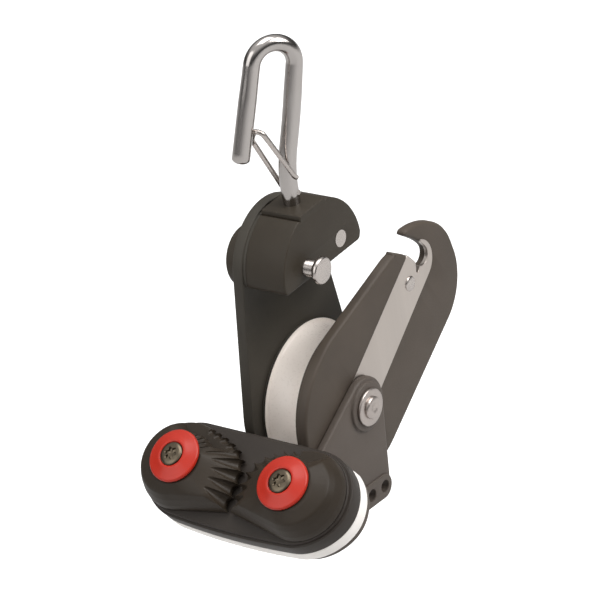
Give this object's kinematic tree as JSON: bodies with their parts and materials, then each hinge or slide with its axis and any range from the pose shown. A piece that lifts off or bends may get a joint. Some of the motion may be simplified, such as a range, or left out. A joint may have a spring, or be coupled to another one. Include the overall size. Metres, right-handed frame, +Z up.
{
  "type": "snatch block with cam cleat",
  "caption": "Side-opening pulley block with a swivel gate hook, a latching hinged cheek and a cam cleat on a bracket that grips the rope leaving the sheave.",
  "frame": {"origin": "where a ring or eye bears in the top of the hook's bow", "axes": "+Z up through the hook, the sheave's axle along X with the swinging cheek at +X, the cam cleat at -Y"},
  "size_m": [0.0704, 0.1126, 0.1462],
  "materials": {
    "steel": "polished stainless steel",
    "wire": "bright drawn wire",
    "dark_head": "dark grey moulded, fine texture",
    "dark_cheek": "dark grey moulded, fine texture",
    "bracket": "dark grey satin",
    "strap": "brushed stainless sheet",
    "white": "off-white acetal",
    "pad": "white pad",
    "cam": "black moulded composite",
    "base": "black moulded composite",
    "red": "red moulded cap",
    "bronze": "plain bearing bush",
    "screw": "steel, faint yellow tint"
  },
  "bodies": {
    "hook": {"hook": "steel", "hook_collar": "steel", "thrust_washer": "bronze"},
    "gate": {"gate_wire": "wire"},
    "block": {"head_block": "dark_head", "fixed_cheek": "dark_head", "head_rivet": "steel", "plunger_housing": "dark_head", "plunger_spring": "wire", "axle": "steel", "axle_washers": "steel", "cleat_bracket": "bracket", "cleat_pad": "pad", "cleat_base": "base", "cam_springs": "wire", "cam_caps": "red", "cam_screws": "screw", "cleat_nuts": "steel"},
    "sheave": {"sheave": "white", "sheave_bush": "bronze"},
    "swinging_cheek": {"swing_cheek": "dark_cheek", "latch_strap": "strap", "strap_rivet": "steel"},
    "latch": {"latch_plunger": "steel"},
    "left_cam": {"cam_left": "cam"},
    "right_cam": {"cam_right": "cam"}
  },
  "joints": [
    {"name": "hook_swivel", "type": "hinge", "parent": "hook", "child": "block", "pos_m": [-0.00097, -0.00168, -0.05718], "axis": [0, 0, 1], "continuous": true},
    {"name": "gate_hinge", "type": "hinge", "parent": "hook", "child": "gate", "pos_m": [-0.00082, -0.00142, -0.04178], "axis": [-0.866, 0.5, 0], "range_deg": [0, 16], "stiffness_Nm_per_rad": 0.1, "springref_deg": -5.73},
    {"name": "sheave_spin", "type": "hinge", "parent": "block", "child": "sheave", "pos_m": [-0.00097, -0.00168, -0.10918], "axis": [1, 0, 0], "continuous": true},
    {"name": "cheek_swing", "type": "hinge", "parent": "block", "child": "swinging_cheek", "pos_m": [-0.00097, -0.00168, -0.10918], "axis": [1, 0, 0], "range_deg": [-45, 64]},
    {"name": "latch_pull", "type": "slide", "parent": "block", "child": "latch", "axis": [1, 0, 0], "range_m": [0, 0.003], "stiffness_N_per_m": 600, "springref_m": -0.002, "deforming": ["plunger_spring"]},
    {"name": "left_cam_turn", "type": "hinge", "parent": "block", "child": "left_cam", "pos_m": [-0.01997, -0.04392, -0.11229], "axis": [0, -0.5807, 0.8141], "range_deg": [-32, 0], "stiffness_Nm_per_rad": 0.05, "springref_deg": 5.73},
    {"name": "right_cam_turn", "type": "hinge", "parent": "block", "child": "right_cam", "pos_m": [0.01803, -0.04392, -0.11229], "axis": [0, -0.5807, 0.8141], "range_deg": [0, 32], "stiffness_Nm_per_rad": 0.05, "springref_deg": -5.73}
  ]
}
